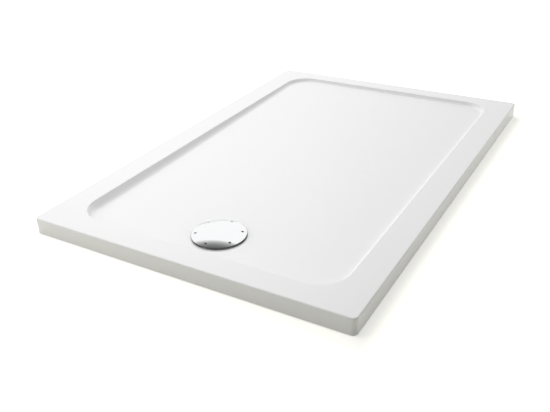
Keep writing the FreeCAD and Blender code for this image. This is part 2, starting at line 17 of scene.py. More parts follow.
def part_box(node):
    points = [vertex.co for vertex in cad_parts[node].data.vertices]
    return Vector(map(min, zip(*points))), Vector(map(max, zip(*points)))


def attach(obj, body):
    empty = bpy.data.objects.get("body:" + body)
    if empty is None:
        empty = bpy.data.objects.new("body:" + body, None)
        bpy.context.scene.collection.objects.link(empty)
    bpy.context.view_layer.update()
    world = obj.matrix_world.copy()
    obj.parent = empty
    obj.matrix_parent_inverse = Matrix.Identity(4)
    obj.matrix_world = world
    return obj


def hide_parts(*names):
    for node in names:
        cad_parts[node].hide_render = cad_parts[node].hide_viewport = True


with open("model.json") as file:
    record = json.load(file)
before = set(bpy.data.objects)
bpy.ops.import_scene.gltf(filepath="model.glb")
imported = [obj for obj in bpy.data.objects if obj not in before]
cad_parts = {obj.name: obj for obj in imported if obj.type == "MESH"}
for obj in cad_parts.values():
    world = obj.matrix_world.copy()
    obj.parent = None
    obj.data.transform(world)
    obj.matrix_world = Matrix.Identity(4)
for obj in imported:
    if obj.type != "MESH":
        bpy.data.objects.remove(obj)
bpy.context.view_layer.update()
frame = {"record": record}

# %% [markdown]
# ## Where things are
#
# Everything is in metres in the frame of the solids: X across the tray, Y along it, Z up, and the origin in
# the middle of the underside. The solids' boxes give the outer sizes and the waste's axis. Smaller sizes
# are written in millimetres where they are used, and MM turns them into metres.

# %% Places read from the solids
MM = 0.001

tray_low, tray_high = (Vector(corner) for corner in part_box("tray_skin"))
cover_low, cover_high = (Vector(corner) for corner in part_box("waste_cover"))
WASTE = Vector(((cover_low.x + cover_high.x) / 2, (cover_low.y + cover_high.y) / 2, 0))
print("tray:", [round(v, 4) for v in tray_high - tray_low], "waste at", [round(v, 4) for v in WASTE])

# %% [markdown]
# ## The camera
#
# A camera that stands where the photographer stood makes every proportion comparable. Its place and its
# direction were worked out from the corners of the tray, which is known to be 1200 by 800 mm.

# %% Camera at the photograph's viewpoint
LENS = 45.16
CAMERA_AT = Vector((0.77557, -1.50053, 0.80608))
CAMERA_BACK = Vector((0.44741, -0.75344, 0.48182))
CAMERA_RIGHT = Vector((0.86747, 0.49666, -0.02886))
camera_data = bpy.data.cameras.new("camera")
camera = bpy.data.objects.new("camera", camera_data)
bpy.context.scene.collection.objects.link(camera)
camera_data.sensor_width = 36.0
camera_data.lens = LENS
back = CAMERA_BACK.normalized()
up = back.cross(CAMERA_RIGHT).normalized()
right = up.cross(back).normalized()
turn = Matrix((right, up, back)).transposed().to_4x4()
camera.matrix_world = Matrix.Translation(CAMERA_AT) @ turn
bpy.context.scene.camera = camera
print("camera lens:", camera_data.lens)

# %% [markdown]
# ## Shader maths as plain expressions
#
# A material is a small formula: noise times a colour, plus a scratch here and there. Wiring that by hand
# takes dozens of lines, so Wire lets two sockets be added or multiplied as numbers are, and Finish keeps
# one material's tree and adds any other node through one method.

# %% A socket that does arithmetic


class Wire:
    """One socket of a node tree. Sums and products of wires add Math nodes."""

    def __init__(self, tree, socket):
        self.tree = tree
        self.socket = socket

    def math(self, operation, first, second):
        """A Math node fed with two values."""
        node = self.tree.nodes.new("ShaderNodeMath")
        node.operation = operation
        plug(self.tree, first, node.inputs[0])
        plug(self.tree, second, node.inputs[1])
        return Wire(self.tree, node.outputs[0])

    def above(self, limit):
        """1 where this value is over the limit, else 0."""
        return self.math("GREATER_THAN", self, limit)

    def held(self, low=0.0, high=1.0):
        """This value kept between two limits."""
        return self.math("MINIMUM", self.math("MAXIMUM", self, low), high)


def plug(tree, value, slot):
    """Link a wire to an input, or set the input to a plain value. Colours are (red, green, blue)."""
    if isinstance(value, Wire):
        tree.links.new(value.socket, slot)
    else:
        slot.default_value = (*value, 1.0) if slot.type == "RGBA" else value


def operator(operation, swapped=False):
    """A method that joins a wire and another value, or the other value and a wire."""
    if swapped:
        return lambda wire, other: wire.math(operation, other, wire)
    return lambda wire, other: wire.math(operation, wire, other)


symbols = {"add": "ADD", "sub": "SUBTRACT", "mul": "MULTIPLY", "truediv": "DIVIDE", "pow": "POWER"}
for symbol, operation in symbols.items():
    setattr(Wire, f"__{symbol}__", operator(operation))
    setattr(Wire, f"__r{symbol}__", operator(operation, swapped=True))
print("wires that know", ", ".join(symbols))

# %% A material with one method for its nodes


class Finish:
    """A node tree with its output shader. node() adds any kind of shader node."""

    def __init__(self, name, colour=(0.8, 0.8, 0.8), **values):
        self.material = bpy.data.materials.new(name)
        self.material.use_nodes = True
        self.tree = self.material.node_tree
        self.shader = self.tree.nodes["Principled BSDF"]
        self.set(Base_Color=colour, **values)

    def node(self, kind, settings=None, output=0, **inputs):
        """Add a node, set it, then feed its inputs. Names use _ for a space, and _3 is input 3."""
        made = self.tree.nodes.new("ShaderNode" + kind)
        for key, value in (settings or {}).items():
            setattr(made, key, value)
        for key, value in inputs.items():
            slot = int(key[1:]) if key[1:].isdigit() else key.replace("_", " ")
            plug(self.tree, value, made.inputs[slot])
        return Wire(self.tree, made.outputs[output])

    def place(self):
        """Position on the object, in metres."""
        return self.node("TexCoord", output="Object")

    def noise(self, scale, detail=2.0, at=None):
        """Smooth noise from 0 to 1. scale is in cells per metre."""
        return self.node("TexNoise", Vector=at or self.place(), Scale=scale, Detail=detail)

    def specks(self, scale, at=None):
        """Distance to the nearest of many scattered points, in cells."""
        return self.node("TexVoronoi", Vector=at or self.place(), Scale=scale)

    def stretched(self, x, y, z):
        """Position with its axes scaled, so that noise on it becomes streaks."""
        return self.node("Mapping", Vector=self.place(), Scale=(x, y, z))

    def axis(self, letter, vector):
        """One coordinate of a vector."""
        return self.node("SeparateXYZ", output=letter, Vector=vector)

    def ray(self, kind):
        """1 for what is seen by rays of this kind, else 0."""
        return self.node("LightPath", output=f"Is {kind} Ray")

    def blend(self, factor, first, second):
        """Mix two colours."""
        return self.node("Mix", {"data_type": "RGBA"}, 2, _0=factor, _6=first, _7=second)

    def bump(self, height, distance):
        """A normal bent by a height of this many metres."""
        return self.node("Bump", Height=height, Distance=distance, Strength=1.0)

    def set(self, **values):
        """Feed the shader's own inputs."""
        for key, value in values.items():
            plug(self.tree, value, self.shader.inputs[key.replace("_", " ")])
        return self


print("finishes ready")

# %% [markdown]
# ## Floor, backdrop and lamps
#
# The photograph shows the tray on pure white. A pale floor that also glows a little, for whatever looks at
# it straight or in a mirror, gives that white and still keeps the tray's shadow. The floor has an opening
# under the tray, as a bathroom's floor has round a trap, so the underside can be seen from below. It is a
# grid of nine faces, drawn in to the opening, whose middle face is deleted.

# %% White floor with an opening under the tray
FLOOR_HALF, FLOOR_GLOW = 12.0, 0.5
OPENING_MARGIN = 30 * MM
BLACK, WHITE = (0.0, 0.0, 0.0), (1.0, 1.0, 1.0)
MIDDLE_FACE = 4


def tell(name, piece):
    """Print how many faces a piece has."""
    print(name + ":", len(piece.data.polygons), "faces")


def mark(action="SELECT"):
    """In edit mode, select everything, or nothing with DESELECT."""
    bpy.ops.mesh.select_all(action=action)


def deselect():
    """Leave edit mode with nothing selected, so that no operator touches a finished piece."""
    if bpy.context.object and bpy.context.object.mode != "OBJECT":
        bpy.ops.object.mode_set(mode="OBJECT")
    bpy.ops.object.select_all(action="DESELECT")


floor_finish = Finish("floor white", (0.86, 0.855, 0.76), Roughness=0.9, Specular_IOR_Level=0.0)
seen = floor_finish.ray("Camera") + floor_finish.ray("Glossy") + floor_finish.ray("Transmission")
glow = floor_finish.blend(seen.held(), BLACK, WHITE)
floor_finish.set(Emission_Color=glow, Emission_Strength=FLOOR_GLOW)
deselect()
bpy.ops.mesh.primitive_grid_add(x_subdivisions=3, y_subdivisions=3, size=2 * FLOOR_HALF)
floor = bpy.context.object
floor.name = "floor"
for corner in floor.data.vertices:
    if abs(corner.co.x) < 0.9 * FLOOR_HALF:
        corner.co.x = math.copysign(tray_high.x - OPENING_MARGIN, corner.co.x)
    if abs(corner.co.y) < 0.9 * FLOOR_HALF:
        corner.co.y = math.copysign(tray_high.y - OPENING_MARGIN, corner.co.y)
bpy.ops.object.mode_set(mode="EDIT")
mark("DESELECT")
bpy.ops.object.mode_set(mode="OBJECT")
floor.data.polygons[MIDDLE_FACE].select = True
bpy.ops.object.mode_set(mode="EDIT")
bpy.ops.mesh.delete(type="FACE")
deselect()
floor.data.materials.append(floor_finish.material)
tell("floor", floor)

# %% [markdown]
# ## A world that chrome can mirror
#
# Polished metal has no colour of its own: it shows the room. The world is even and dim for the light it
# gives, white for the camera, and for mirrors it is white on all sides, with a long dark panel overhead
# that fades in from its edges, as in a studio with white walls. That dark is what draws the cover's dome.

# %% World
WORLD_LIGHT = 0.2
PANEL_HALF, PANEL_FADE, DARKEST = 0.316, 0.066, 4.5  # in squared direction, then in halvings
world = bpy.data.worlds.new("world")
bpy.context.scene.world = world
world.use_nodes = True


class Sky(Finish):
    """The same node helper on the world's tree."""

    def __init__(self, tree):
        self.tree = tree
        self.shader = tree.nodes["Background"]


sky = Sky(world.node_tree)
direction = sky.node("TexCoord", output="Generated")
east, north, height = (sky.axis(letter, direction) for letter in "XYZ")
across = east * 0.34 - north * 0.96
overhead = ((height - 0.5) / 0.15).held()
panel = ((PANEL_HALF - across * across) / PANEL_FADE).held(0.0, DARKEST) * overhead
ceiling = 0.5**panel
for_camera = sky.ray("Camera")
mirrored = (sky.ray("Glossy") + sky.ray("Transmission")).held()
level = for_camera + (1 - for_camera) * (mirrored * ceiling + (1 - mirrored) * WORLD_LIGHT)
sky.set(Color=WHITE, Strength=level)
print("world nodes:", len(sky.tree.nodes))

# %% [markdown]
# ## Lamps
#
# In the photograph the floor is brightest round the waste, the rim fades towards the right, and the two
# outer faces are darkest where they meet. So the main lamp stands high behind on the left, two small ones
# hang over the waste, and two low ones reach the far ends of the outer faces. All are wide, for soft
# shadows, and hidden from mirrors, because a lamp's hard square in the chrome would look like a window.

# %% Soft lamps


def soft_lamp(name, place, size, watts):
    """A square area lamp that points at the middle of the tray."""
    data = bpy.data.lights.new(name, "AREA")
    data.size = size
    data.energy = watts
    lamp = bpy.data.objects.new(name, data)
    bpy.context.scene.collection.objects.link(lamp)
    lamp.location = place
    lamp.rotation_mode = "QUATERNION"
    lamp.rotation_quaternion = (-Vector(place)).to_track_quat("-Z", "Y")
    lamp.visible_glossy = False


soft_lamp("lamp_back_left", (-1.5, 1.6, 2.2), 1.8, 57.0)
soft_lamp("lamp_front_left", (-1.5, -1.7, 0.9), 0.8, 9.0)
soft_lamp("lamp_right_low", (2.4, 1.4, 0.7), 1.2, 10.0)
soft_lamp("lamp_over_waste", (-0.2, -0.6, 1.4), 0.8, 6.0)
soft_lamp("lamp_over_left", (-0.7, -0.3, 1.5), 0.8, 2.5)
bpy.context.scene.view_settings.view_transform = "Standard"

# %% [markdown]
# ## Helpers for modelling by hand
#
# Most of a waste is turned: cover, flange, trap, seals and nut are all round. Such a piece is a profile,
# drawn by extruding one vertex from point to point, and spun about its axis. Each corner of a profile gets
# its own small radius, because a real moulded or pressed edge is never knife sharp, and the rounding is
# what catches the light.

# %% Profile with rounded corners
ARC_STEPS = 4


def rounded(points, steps=ARC_STEPS):
    """Points of a profile in mm, in which (r, z, radius) becomes an arc between its neighbours."""
    out = []
    for k, point in enumerate(points):
        here = Vector(point[:2])
        radius = point[2] if len(point) > 2 else 0
        if not radius:
            out.append(here)
            continue
        before = (Vector(points[k - 1][:2]) - here).normalized()
        after = (Vector(points[(k + 1) % len(points)][:2]) - here).normalized()
        half = before.angle(after) / 2
        reach = radius / math.tan(half)
        centre = here + (before + after).normalized() * (radius / math.sin(half))
        start = here + before * reach - centre
        end = here + after * reach - centre
        sweep = start.angle_signed(end)
        for i in range(steps + 1):
            spin = Matrix.Rotation(-sweep * i / steps, 2)
            out.append(centre + spin @ start)
    return out


print("an arc of", len(rounded([(0, 0), (10, 0, 2), (10, 10)])) - 2, "points")

# %% Turn a profile
MERGE = 1e-6


def clean_faces():
    """In edit mode: merge what coincides and point every face outwards."""
    mark()
    bpy.ops.mesh.remove_doubles(threshold=MERGE)
    bpy.ops.mesh.normals_make_consistent(inside=False)


def drawn(name, points, closed=True):
    """Draw an outline of (radius, height) points in mm. It stays in edit mode, selected."""
    deselect()
    bpy.ops.mesh.primitive_plane_add(size=1 * MM, enter_editmode=True)
    piece = bpy.context.object
    piece.name = name
    bpy.ops.mesh.select_mode(type="VERT")
    mark()
    bpy.ops.mesh.merge(type="CENTER")
    places = [Vector((r, 0, z)) * MM for r, z in points]
    if closed:
        places.append(places[0])
    bpy.ops.transform.translate(value=places[0])
    for here, there in zip(places, places[1:]):
        bpy.ops.mesh.extrude_vertices_move(TRANSFORM_OT_translate={"value": there - here})
    mark()
    return piece


def turned(name, profile, steps=128, closed=True, arcs=ARC_STEPS):
    """Spin a profile of (radius, height, rounding) points in mm about the Z axis."""
    piece = drawn(name, rounded(profile, arcs), closed)
    bpy.ops.mesh.spin(steps=steps, angle=2 * math.pi, center=(0, 0, 0), axis=(0, 0, 1))
    clean_faces()
    deselect()
    return piece


print("profiles can be turned, and merged within", MERGE, "m")

# %% Take hold of a piece and work on its mesh


def hold(piece):
    """Make this the one selected, active object."""
    deselect()
    piece.select_set(True)
    bpy.context.view_layer.objects.active = piece


def edit(piece):
    """Hold a piece and open its mesh."""
    hold(piece)
    bpy.ops.object.mode_set(mode="EDIT")


def bevel(width, steps, affect="EDGES"):
    """In edit mode, round the selected edges or vertices by this many mm."""
    bpy.ops.mesh.bevel(affect=affect, offset=width * MM, segments=steps)


def pull(height, kind="edges"):
    """In edit mode, extrude the selected edges, or the region of faces, upwards by this many mm."""
    extrude = getattr(bpy.ops.mesh, f"extrude_{kind}_move")
    extrude(TRANSFORM_OT_translate={"value": (0, 0, height * MM)})


print("mesh helpers ready")

# %% Move a piece and copy it


def set_down(piece, place=(0, 0, 0), turn=(0, 0, 0)):
    """Turn a piece about the origin and move it, then make that its mesh's own place.

    Without a place and a turn it only makes the piece's own scale and place its mesh's.
    """
    hold(piece)
    bpy.ops.object.transform_apply(location=True, rotation=True, scale=True)
    piece.rotation_euler = turn
    piece.location = place
    bpy.ops.object.transform_apply(location=True, rotation=True, scale=True)
    return piece


def twin(piece):
    """A copy of a piece with a mesh of its own."""
    copy = piece.copy()
    copy.data = piece.data.copy()
    bpy.context.scene.collection.objects.link(copy)
    return copy


def copies(piece, count, first=0):
    """Copies of a piece round the Z axis, which take its place. The first is turned by some degrees."""
    angles = [math.radians(first) + 2 * math.pi * k / count for k in range(count)]
    made = [set_down(twin(piece), turn=(0, 0, angle)) for angle in angles]
    bpy.data.objects.remove(piece)
    return made


print("moving and copying ready")

# %% Cut a piece and fuse it


def finish_modifier(piece, kind, **settings):
    """Add a modifier and apply it at once."""
    hold(piece)
    modifier = piece.modifiers.new(kind.lower(), kind)
    for key, value in settings.items():
        setattr(modifier, key, value)
    bpy.ops.object.modifier_apply(modifier=modifier.name)


def joined(pieces):
    """Several objects as one."""
    hold(pieces[0])
    for piece in pieces:
        piece.select_set(True)
    if len(pieces) > 1:
        bpy.ops.object.join()
    return pieces[0]


def combine(piece, others, operation, overlapping=False):
    """Combine a piece with others by a Boolean. They are used up."""
    tool = joined(others)
    finish_modifier(piece, "BOOLEAN", object=tool, operation=operation, solver="EXACT", use_self=overlapping)
    bpy.data.objects.remove(tool)
    return piece


def cut(piece, others, **how):
    """Cut others out of a piece."""
    return combine(piece, others, "DIFFERENCE", **how)


def fuse(piece, others, **how):
    """Fuse others with a piece."""
    return combine(piece, others, "UNION", **how)


print("cutting and fusing ready")

# %% Blocks and pegs


def block(low, high, soft=0.0):
    """A box between two corners in mm, with its edges softened if that is asked for."""
    deselect()
    low, high = Vector(low) * MM, Vector(high) * MM
    bpy.ops.mesh.primitive_cube_add(size=1, location=(low + high) / 2)
    piece = bpy.context.object
    piece.scale = high - low
    set_down(piece)
    if soft:
        edit(piece)
        bevel(soft, 2)
        deselect()
    return piece


def peg(radius, low, high, at=(0, 0), sides=32):
    """An upright cylinder in mm."""
    deselect()
    place = Vector((*at, (low + high) / 2)) * MM
    depth = (high - low) * MM
    bpy.ops.mesh.primitive_cylinder_add(vertices=sides, radius=radius * MM, depth=depth, location=place)
    return set_down(bpy.context.object)


print("blocks and pegs ready")

# %% Dress a finished piece


def dress(piece, node, finish, angle=35, place=WASTE):
    """Set it down on the waste's axis, smooth it, give it its finish, and let it stand for its solid.

    Flat faces keep flat shading.
    """
    set_down(piece, place=place)
    bpy.ops.object.shade_smooth_by_angle(angle=math.radians(angle))
    finish_modifier(piece, "WEIGHTED_NORMAL", keep_sharp=True, weight=90)
    piece.data.materials.clear()
    piece.data.materials.append(finish.material)
    body = next(name for name, members in frame["record"]["behaviour"]["bodies"].items() if node in members)
    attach(piece, body)
    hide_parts(node)
    piece.name = "look_" + node
    print(piece.name, "on", body + ":", len(piece.data.polygons), "faces")
    return piece


print("dressing ready")

# %% [markdown]
# ## Tray skin: rim, recess and skirt in one sheet
#
# The real skin is one sheet of acrylic, sucked down over a mould, so its whole upper face is one
# continuous surface. It could be cut from a block with Booleans, but a sheet has no wasted geometry: the
# recess's floor is drawn flat, cut into wedges through the waste's axis, and its outline is extruded four
# times. Then each ring goes to its own place: the foot of the wall, the recess's edge, the rim's edge and
# the skirt's lower edge. The wedges let the floor be a true, very flat cone that drains to the waste.

# %% Sizes of the sheet, in mm
RIM_SIDE, RIM_FRONT, RIM_BACK = 67, 60, 52
RECESS_CORNER, OUTER_CORNER = 70, 12
WALL_LEAN = 25  # degrees from upright
LEAN = math.tan(math.radians(WALL_LEAN))
HALF_BEND = math.tan(math.radians((90 - WALL_LEAN) / 2))  # a bevel's offset over its radius
RIM_ROUND, LIP_ROUND, FOOT_ROUND = 3.0, 2.0, 13.0
FLOOR_LOW, FLOOR_FALL = 18, 0.012
REBATE_R, REBATE_DEPTH, HOLE_R = 61, 6, 45
APRON = 14
recess_low = Vector((tray_low.x / MM + RIM_SIDE, tray_low.y / MM + RIM_FRONT))
recess_high = Vector((tray_high.x / MM - RIM_SIDE, tray_high.y / MM - RIM_BACK))
print("recess:", recess_high - recess_low)


def square(size):
    """The same length along X and Y."""
    return Vector((size, size))


def nearest(point, low, high):
    """The point of a rectangle nearest to this point."""
    return Vector((min(max(point.x, low.x), high.x), min(max(point.y, low.y), high.y)))


def floor_height(point):
    """Height of the conical floor at a point, in mm."""
    return FLOOR_LOW + FLOOR_FALL * ((point - WASTE.xy / MM).length - REBATE_R)


# %% Wedges of the floor, through the waste's axis
WEDGES = 120
deselect()
middle = (recess_low + recess_high) / 2 * MM
bpy.ops.mesh.primitive_plane_add(size=1, location=(middle.x, middle.y, 0))
skin = bpy.context.object
skin.scale = (*(recess_high - recess_low) * MM, 1)
edit(set_down(skin))
bevel(RECESS_CORNER, 14, "VERTICES")
for k in range(WEDGES // 2):
    mark()
    aim = 2 * math.pi * (k + 0.5) / WEDGES
    bpy.ops.mesh.bisect(plane_co=WASTE, plane_no=(-math.sin(aim), math.cos(aim), 0))
print("wedge corners:", len(skin.data.vertices))

# %% Pick parts of a mesh by their place


def pick(piece, kind, test):
    """In edit mode, select the verts, edges or faces whose place in mm passes a test.

    Of an edge both ends must pass, of a face its middle.
    """
    places = {
        "verts": lambda vert: [vert.co],
        "edges": lambda edge: [corner.co for corner in edge.verts],
        "faces": lambda face: [face.calc_center_median()],
    }[kind]
    bpy.ops.mesh.select_mode(type=kind[:-1].upper())
    mark("DESELECT")
    mesh = bmesh.from_edit_mesh(piece.data)
    chosen = [part for part in getattr(mesh, kind) if all(test(co / MM) for co in places(part))]
    for part in chosen:
        part.select_set(True)
    mesh.select_flush_mode()
    bmesh.update_edit_mesh(piece.data)
    return len(chosen)


print("places can be picked")

# %% Circle at the waste and four rings outwards
waste_mm = WASTE.xy / MM
print("centre:", pick(skin, "verts", lambda p: (p.xy - waste_mm).length < 1))
bevel(REBATE_R, 1, "VERTICES")
bpy.ops.mesh.select_mode(type="EDGE")
mark()
bpy.ops.mesh.region_to_loop()
for ring in range(4):
    pull(1)
deselect()
print("sheet:", len(skin.data.vertices), "corners")

# %% Each ring in its place
HALF_ARC, STRAIGHT = 45, 0.01  # degrees
corner_low = recess_low + square(RECESS_CORNER)
corner_high = recess_high - square(RECESS_CORNER)
for corner in skin.data.vertices:
    here = corner.co.xy / MM
    ring = round(corner.co.z / MM)
    root = nearest(here, corner_low, corner_high)
    out = here - root
    if ring == 0 and out.length < RECESS_CORNER - 1:
        corner.co.z = floor_height(here) * MM
        continue
    out.normalize()
    foot = here
    for _ in range(6):
        depth = tray_high.z / MM - floor_height(foot)
        foot = here - out * depth * LEAN
    if ring == 0:
        foot = foot - out * APRON
    if ring < 2:
        corner.co = Vector((*foot, floor_height(foot))) * MM
    elif ring == 2:
        corner.co.z = tray_high.z
    else:
        # Each half of a corner's arc goes to its own side, and the halves meet in a sharp outer corner.
        turn = math.degrees(math.atan2(abs(out.y), abs(out.x)))
        side = min(1, turn / HALF_ARC) if root.y in (corner_low.y, corner_high.y) else 0
        end = min(1, (90 - turn) / HALF_ARC) if root.x in (corner_low.x, corner_high.x) else 0
        far = Vector((math.copysign(tray_high.x / MM, here.x), math.copysign(tray_high.y / MM, here.y)))
        if turn <= HALF_ARC:
            place = Vector((far.x, root.y + (far.y - root.y) * side if turn > STRAIGHT else here.y))
        else:
            place = Vector((root.x + (far.x - root.x) * end if turn < 90 - STRAIGHT else here.x, far.y))
        corner.co = Vector((*place * MM, tray_high.z if ring == 3 else tray_low.z))
print("sheet from", round(min(v.co.z for v in skin.data.vertices) / MM, 2), "mm up")

# %% Rebate and hole for the waste
edit(skin)
pick(skin, "faces", lambda p: (p.xy - waste_mm).length < 1)
pull(-REBATE_DEPTH, "region")
bpy.ops.mesh.inset(thickness=(REBATE_R - HOLE_R) * MM * math.cos(math.pi / WEDGES))
bpy.ops.mesh.delete(type="FACE")
end_x, end_y = tray_high.xy / MM
pick(skin, "edges", lambda p: abs(p.x) > end_x - 0.1 and abs(p.y) > end_y - 0.1)
bevel(OUTER_CORNER, 8)
clean_faces()
mark("DESELECT")
deselect()
print("upward faces:", sum(p.normal.z > 0.9 for p in skin.data.polygons))

# %% [markdown]
# ## Thickness, then the roundings
#
# A sheet's inner face follows its outer face, so Solidify gives it its 3 mm after the shape is done. The
# roundings come last and on the outer face only: the rim's edge, the lip of the recess, a wide radius at
# the foot of the wall where a cloth must reach, and two small ones round the rebate. Selecting their edge
# loops by place is surer than by angle, because every loop has its own radius.

# %% A copy of the bare sheet for the core, then the thickness
SKIN = 3
core = twin(skin)
core.name = "core"
finish_modifier(skin, "SOLIDIFY", thickness=SKIN * MM, offset=-1, use_even_offset=True)
tell("skin", skin)

# %% Roundings, each by its place
CLOSE = 0.05
CHORD = 0.4  # a wedge can cut a corner's arc between two of its points, that much inside the radius


def around(low, high, radius):
    """A test for points on the outline of a rounded rectangle, in mm."""
    return lambda p: abs((p.xy - nearest(p.xy, low, high)).length - radius) < CHORD


def at_foot(p):
    """A test for the foot of the recess's wall."""
    depth = tray_high.z / MM - p.z
    reach = (p.xy - nearest(p.xy, corner_low, corner_high)).length
    return abs(p.z - floor_height(p.xy)) < CLOSE and abs(reach - RECESS_CORNER + depth * LEAN) < CHORD


def at_ring(radius):
    """A test for points on a circle about the waste's axis."""
    return lambda p: abs((p.xy - waste_mm).length - radius) < CLOSE


outer_low = tray_low.xy / MM + square(OUTER_CORNER)
outer_high = tray_high.xy / MM - square(OUTER_CORNER)
on_rim = around(outer_low, outer_high, OUTER_CORNER)
on_lip = around(corner_low, corner_high, RECESS_CORNER)
on_rebate = at_ring(REBATE_R)
top = tray_high.z / MM
rebate_z = FLOOR_LOW - REBATE_DEPTH
loops = [
    (lambda p: p.z > top - 0.01 and on_rim(p), RIM_ROUND, 5),
    (lambda p: p.z > top - 0.01 and on_lip(p), LIP_ROUND * HALF_BEND, 4),
    (at_foot, FOOT_ROUND * HALF_BEND, 8),
    (lambda p: on_rebate(p) and p.z > FLOOR_LOW - CLOSE, 0.6, 3),
    (lambda p: on_rebate(p) and abs(p.z - rebate_z) < CLOSE, 0.8, 3),
    (lambda p: p.z < tray_low.z / MM + 0.01, 0.4, 1),
]
edit(skin)
for test, width, steps in loops:
    found = pick(skin, "edges", test)
    bevel(width, steps)
    print("rounded", found, "edges by", round(width, 2), "mm")
deselect()

# %% [markdown]
# ## Finish of the skin: white sanitary acrylic
#
# Acrylic is a clean white with a soft gloss. What makes it look real is small: a very slight orange-peel
# from the mould, hair scratches from cleaning that only show as a change of gloss, and a thin film of
# lime that makes the gloss uneven in slow clouds. All three stay faint, because the tray is new.

# %% White acrylic
acrylic = Finish("white acrylic", (0.9, 0.9, 0.9), IOR=1.49)
cloud = acrylic.noise(9.0, 3.0)
peel = acrylic.noise(260.0, 1.0)
hairs = acrylic.noise(900.0, 0.0, at=acrylic.stretched(0.03, 1.0, 1.0))
cross_hairs = acrylic.noise(900.0, 0.0, at=acrylic.stretched(1.0, 0.03, 1.0))
scratched = (hairs.above(0.80) + cross_hairs.above(0.80)).held()
film = (cloud - 0.5) * 0.08
acrylic.set(
    Base_Color=acrylic.blend((cloud * 0.35).held(), (0.905, 0.905, 0.903), (0.885, 0.888, 0.886)),
    Roughness=(0.24 + film + scratched * 0.02).held(0.15, 0.45),
    Normal=acrylic.bump(peel, 0.000006),
)
dress(skin, "tray_skin", acrylic, angle=50, place=(0, 0, 0))

# %% [markdown]
# ## Core: cast stone resin under the skin
#
# The skin alone would bend underfoot. In the factory it is turned over and filled with resin and
# crushed stone, and a mould gives the underside its pockets, which save weight and leave ribs to stand
# on. Its upper face must fit under the skin exactly, so it starts as a copy of the bare sheet, moved in by
# the skin's thickness.

# %% Pick only the sharp edges of a place


def pick_creases(piece, test, angle=60):
    """In edit mode, select the edges that pass a test and turn by more than an angle."""
    pick(piece, "edges", test)
    mesh = bmesh.from_edit_mesh(piece.data)
    for edge in mesh.edges:
        if edge.select and math.degrees(edge.calc_face_angle(0)) < angle:
            edge.select_set(False)
    mesh.select_flush_mode()
    bmesh.update_edit_mesh(piece.data)
    return sum(edge.select for edge in mesh.edges)


print("edge picker ready")

# %% Upper face, underside and seat of the core
edit(core)
mark()
bpy.ops.transform.shrink_fatten(value=-SKIN * MM, use_even_offset=True)
pick(core, "edges", lambda p: p.z < 1 + CLOSE)
bpy.ops.transform.translate(value=(0, 0, -tray_low.z))
SEAT_R, SEAT_DEPTH = 60, 1.5
pick(core, "edges", at_ring(HOLE_R))
drop = SEAT_DEPTH - (rebate_z - SKIN)
pull(drop)
pull(0)
bpy.ops.transform.resize(value=(SEAT_R / HOLE_R, SEAT_R / HOLE_R, 1), center_override=WASTE)
pull(-SEAT_DEPTH)
pick(core, "edges", lambda p: abs(p.z) < 0.01)
bpy.ops.mesh.bridge_edge_loops()
clean_faces()
MOUTH = 0.9
print("lower edges:", pick_creases(core, lambda p: abs(p.z) < 0.01))
bevel(MOUTH, 2)
deselect()
tell("core", core)

# %% Pockets between the ribs
POCKETS, RIB, MARGIN, POCKET_DEPTH, POCKET_CORNER, LAND_R = 4, 26, 33, 6, 14, 95
FLARE = ((0.6, 0.25), (0.25, 0.6))  # two steps (aside, upward) that round a pocket's mouth
FLARE_UP = sum(upward for aside, upward in FLARE)
BELOW = 3
pitch = (tray_high.xy / MM - square(MARGIN)) * 2 + square(RIB)
pitch = pitch / POCKETS
size = pitch - square(RIB)
deselect()
bpy.ops.mesh.primitive_plane_add(size=1, location=(0, 0, -BELOW * MM))
pocket = bpy.context.object
pocket.scale = ((size.x + 2 * MOUTH) * MM, (size.y + 2 * MOUTH) * MM, 1)
edit(set_down(pocket))
bevel(POCKET_CORNER + MOUTH, 6, "VERTICES")
pull(BELOW, "region")
for aside, upward in FLARE:
    bpy.ops.mesh.inset(thickness=aside * MM, depth=upward * MM)
pull(POCKET_DEPTH - FLARE_UP, "region")
pick(pocket, "edges", lambda p: p.z > POCKET_DEPTH - 0.01)
bevel(2.2, 3)
clean_faces()
deselect()
pockets = []
for i in range(POCKETS):
    for j in range(POCKETS):
        step = Vector((i - (POCKETS - 1) / 2, j - (POCKETS - 1) / 2))
        pockets.append(set_down(twin(pocket), place=(step.x * pitch.x * MM, step.y * pitch.y * MM, 0)))
bpy.data.objects.remove(pocket)
pocket = joined(pockets)
land_edge = [(0, -9), (LAND_R - FLARE_UP, -9), (LAND_R - FLARE_UP, 0)]
land_edge += [(LAND_R - 0.25, 0.25), (LAND_R, FLARE_UP), (LAND_R, 9), (0, 9)]
land = set_down(turned("land", land_edge, steps=WEDGES, closed=False), place=WASTE)
cut(pocket, [land])
cut(core, [pocket])
tell("core with pockets", core)

# %% [markdown]
# ## Finish of the core
#
# Stone resin is a pale putty colour with grains of crushed stone in it, some grey, some nearly white, and
# small pits where air bubbles lay against the mould. Two sizes of scattered cells give the grains and the
# pits, and a slow noise lets the mix vary over the underside.

